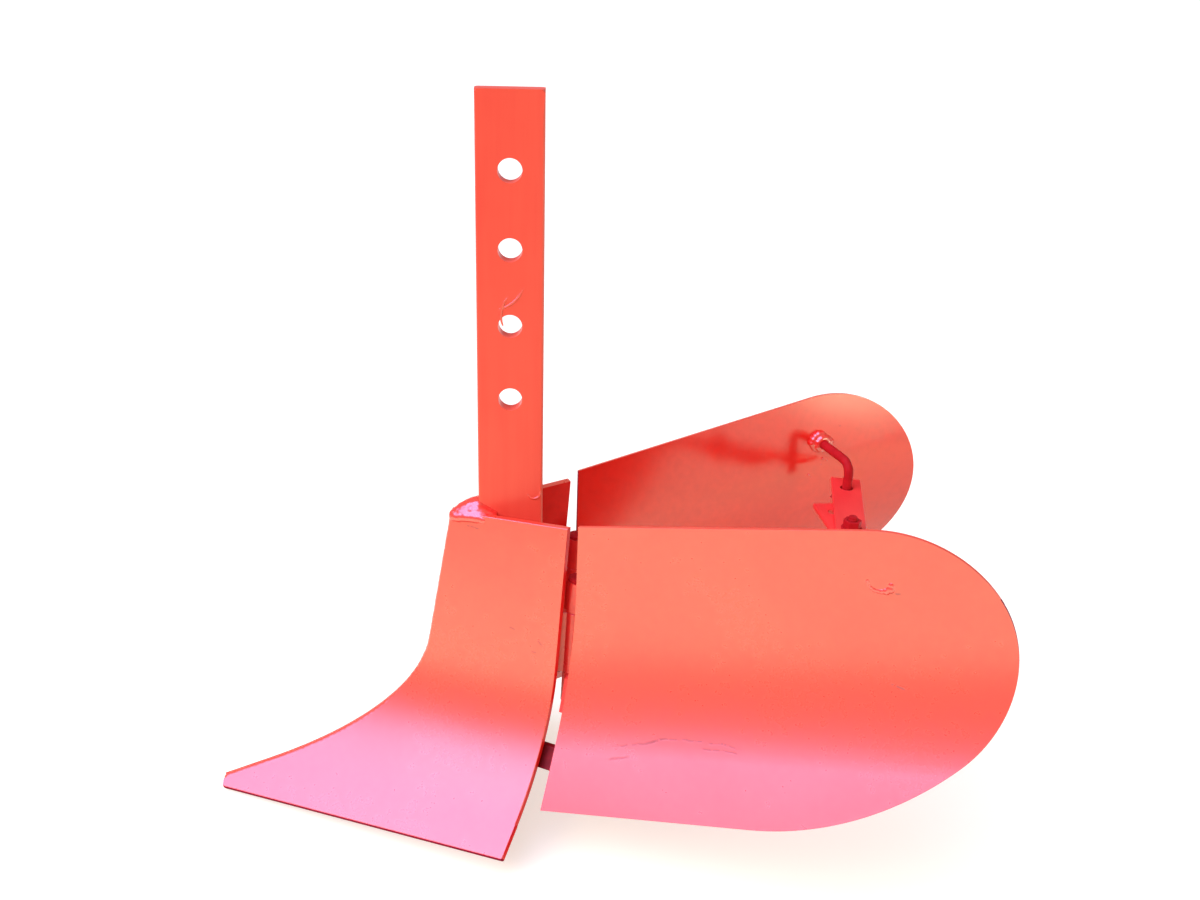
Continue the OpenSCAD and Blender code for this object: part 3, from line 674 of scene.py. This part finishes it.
def hexagon(height, holes):
    """A hexagon piece with its corners eased."""
    bm = flat_bar([(HEX_R * cos(pi / 3 * k), HEX_R * sin(pi / 3 * k)) for k in range(6)], holes, height)
    round_arrises(bm, 0.6, steps=3)
    return bm


def washer(bore, radius, height):
    """A stamped flat washer, its outer edge rounded by the die."""
    ease = height * 0.3
    return turned([
        (bore, 0), (radius - ease, 0), (radius, ease),
        (radius, height - ease), (radius - ease, height), (bore, height),
    ])


def set_at(bm, x, y, z, flip=False):
    """Stands a piece made on Z at that place among the leaning strips."""
    bmesh.ops.transform(bm, matrix=tilt @ Matrix.Translation((x, y, z)), verts=bm.verts[:])
    return other_side(bm) if flip else bm


def joined(*meshes):
    """One mesh of several."""
    whole = bmesh.new()
    for part in meshes:
        copy = bpy.data.meshes.new("part")
        part.to_mesh(copy)
        part.free()
        whole.from_mesh(copy)
        bpy.data.meshes.remove(copy)
    return whole


bolt_low = lower_under - WASHER_T - BOLT_HEAD_H
bolt_top = nut_z + NUT_H + BOLT_OVER
thread_from = lower_under - 1.0
screw = bmesh.new()
crest = [
    screw.verts.new((r, 0, thread_from + h))
    for r, h in ((ROOT_R, 0), (BOLT_R, PITCH * 0.44), (BOLT_R, PITCH * 0.56), (ROOT_R, PITCH))
]
for a, b in zip(crest, crest[1:]):
    screw.edges.new((a, b))
turns = int((bolt_top - 0.4 - thread_from) / PITCH) - 1
bmesh.ops.spin(
    screw, geom=screw.verts[:] + screw.edges[:], cent=(0, 0, 0), axis=(0, 0, 1), dvec=(0, 0, PITCH / 24),
    angle=2 * pi * turns, steps=24 * turns, use_duplicate=False,
)
bmesh.ops.remove_doubles(screw, verts=screw.verts[:], dist=0.02)
bmesh.ops.recalc_face_normals(screw, faces=screw.faces[:])
core = turned([
    (0, bolt_low + 1.0), (ROOT_R + 0.1, bolt_low + 1.0), (ROOT_R + 0.1, bolt_top - 0.5),
    (ROOT_R - 0.5, bolt_top), (0, bolt_top),
])
head = hexagon(BOLT_HEAD_H, [])
bmesh.ops.translate(head, vec=(0, 0, bolt_low), verts=head.verts[:])
bolt = set_at(joined(head, core, screw), bolt_x, 0, 0)
put(bolt, "clamp_screw", "left_strip", ["clamp_bolt"], [shaded_fixing_paint])
nut = set_at(hexagon(NUT_H, [(0, 0, BOLT_R + 0.05, 0)]), bolt_x, 0, nut_z)
put(nut, "clamp_hexagon", "left_strip", ["clamp_nut"], [shaded_fixing_paint])
rings = joined(*[
    set_at(washer(BOLT_R + 0.2, WASHER_R, height), bolt_x, 0, z)
    for z, height in (
        (lower_under - WASHER_T, WASHER_T), (lower_top, SPACER_T), (STRIP_Z + FACE_GAP, WASHER_T)
    )
])
put(rings, "clamp_rings", "left_strip", ["clamp_washers"], [shaded_fixing_paint])


# HOOK WASHERS AND SPLIT PINS
# Each strip is kept on its hook by a flat washer and a split pin of half-round
# wire, its eye on one side and its two legs spread on the other.

COTTER_R, COTTER_LEN, EYE_R, RING_GAP = 1.0, 20.0, 2.6, 0.2
for side, flip, under in (("left", False, lower_under), ("right", True, upper_under)):
    washer_z = under - FACE_GAP - WASHER_T
    ring = set_at(washer(ROD_R + RING_GAP, WASHER_R, WASHER_T), hook_x, hook_y, washer_z, flip)
    put(
        ring, f"hook_ring_washer_{side}", f"{side}_wing", [f"hook_washer_{side}"],
        [shaded_fixing_paint],
    )
    eye_x, leg = COTTER_LEN / 2 + EYE_R - COTTER_R, COTTER_R * 0.5
    wire = [
        (-COTTER_LEN / 2, 3.4, 0), (-COTTER_LEN / 2 + 3, 1.2, 0),
        (-COTTER_LEN / 2 + 5, leg, 0), (eye_x - EYE_R, leg, 0),
    ]
    wire += [(eye_x - EYE_R * cos(radians(a)), EYE_R * sin(radians(a)), 0) for a in range(24, 350, 24)]
    wire += [(x, -y, z) for x, y, z in wire[3::-1]]
    through = Matrix.Translation((hook_x, hook_y, washer_z - RING_GAP - COTTER_R))
    place = tilt @ through @ Matrix.Rotation(-WING_ANGLE, 4, "Z")
    place = mirror @ place if flip else place
    rod(
        f"split_pin_{side}", [place @ Vector(p) for p in wire], COTTER_R * 0.55,
        f"{side}_wing", [f"hook_cotter_{side}"], shaded_fixing_paint,
    )


# STAGE
# A pale floor sheet that ends before the share, a dim dome with a bright lavender patch
# over the front left that the flared faces mirror, white to the camera, a large warm
# lamp at the left front, a small one low at the right, and the camera.

FLOOR_HALF, FLOOR_EDGE, FLOOR_TURN, FLOOR_DROP = 60.0, 0.86, radians(43), 0.0006
floor_mesh = bmesh.new()
lay = Matrix.Rotation(FLOOR_TURN, 4, "Z") @ Matrix.Translation((FLOOR_EDGE - FLOOR_HALF, 0, -FLOOR_DROP))
bmesh.ops.create_grid(floor_mesh, x_segments=1, y_segments=1, size=FLOOR_HALF, matrix=lay)
sheet = bpy.data.meshes.new("floor")
floor_mesh.to_mesh(sheet)
floor_mesh.free()
floor = bpy.data.objects.new("floor", sheet)
bpy.context.scene.collection.objects.link(floor)
floor_paint = bpy.data.materials.new("floor_pale")
floor_paint.use_nodes = True
floor_shader = floor_paint.node_tree.nodes["Principled BSDF"]
floor_shader.inputs["Base Color"].default_value = (0.64, 0.60, 0.32, 1)
start = Tone(floor_paint.node_tree, None)
rays = [
    start.make("ShaderNodeLightPath", {}, {}, f"Is {ray} Ray") for ray in ("Camera", "Glossy", "Transmission")
]
lift = (rays[0] + rays[1] + rays[2]).blend((0, 0, 0, 1), (0.62, 0.62, 0.60, 1))
floor_paint.node_tree.links.new(lift.socket, floor_shader.inputs["Emission Color"])
floor_shader.inputs["Emission Strength"].default_value = 1.0
floor_shader.inputs["Roughness"].default_value = 0.9
floor_shader.inputs["Specular IOR Level"].default_value = 0.0
sheet.materials.append(floor_paint)

world = bpy.data.worlds.new("dome")
bpy.context.scene.world = world
world.use_nodes = True
dome_tree = world.node_tree
looking = Tone(dome_tree, None).make("ShaderNodeTexCoord", {}, {}, "Generated")
dome = looking.dot((0, 0, 1)).ramp(0.16, 0.36).blend((0.42, 0.40, 0.42, 1), (0.36, 0.34, 0.32, 1))
bright = looking.dot(Vector((0.50, 0.34, 0.80)).normalized()).ramp(cos(radians(43)), cos(radians(26)))
dome = bright.blend(dome, (2.2, 2.3, 6.1, 1))
dome = looking.make("ShaderNodeLightPath", {}, {}, "Is Camera Ray").blend(dome, (1, 1, 1, 1))
dome_tree.links.new(dome.socket, dome_tree.nodes["Background"].inputs["Color"])

for name, size, power, stands, reflected in (
    ("key", 1.2, 20.0, (1.3, 1.0, 1.4), False), ("card", 0.34, 1.3, (-0.92, 0.40, 0.27), True)
):
    light = bpy.data.lights.new(name, "AREA")
    light.shape, light.size, light.energy, light.color = "DISK", size, power, (1.0, 0.93, 0.80)
    lamp = bpy.data.objects.new(name, light)
    turn = (Vector(stands) - Vector((0, 0, 0.25))).to_track_quat("Z", "Y").to_matrix().to_4x4()
    lamp.matrix_world = Matrix.Translation(stands) @ turn
    lamp.visible_glossy = reflected
    bpy.context.scene.collection.objects.link(lamp)

AZIMUTH, ELEVATION, ROLL, DISTANCE = radians(1.653), radians(23.016), radians(1.456), 1.08707
target = Vector((-0.011214, 0.0, 0.316637))
away = Vector((sin(AZIMUTH) * cos(ELEVATION), cos(AZIMUTH) * cos(ELEVATION), sin(ELEVATION)))
right = (-away).cross(Vector((0, 0, 1))).normalized()
upward = right.cross(-away)
across = right * cos(ROLL) + upward * sin(ROLL)
tall = upward * cos(ROLL) - right * sin(ROLL)
lens = bpy.data.cameras.new("camera")
lens.sensor_width, lens.lens = 36.0, 42.0
camera = bpy.data.objects.new("camera", lens)
turned_to = Matrix((across, tall, away)).transposed().to_4x4()
camera.matrix_world = Matrix.Translation(target + away * DISTANCE) @ turned_to
bpy.context.scene.collection.objects.link(camera)
bpy.context.scene.camera = camera
bpy.context.scene.view_settings.view_transform = "Standard"
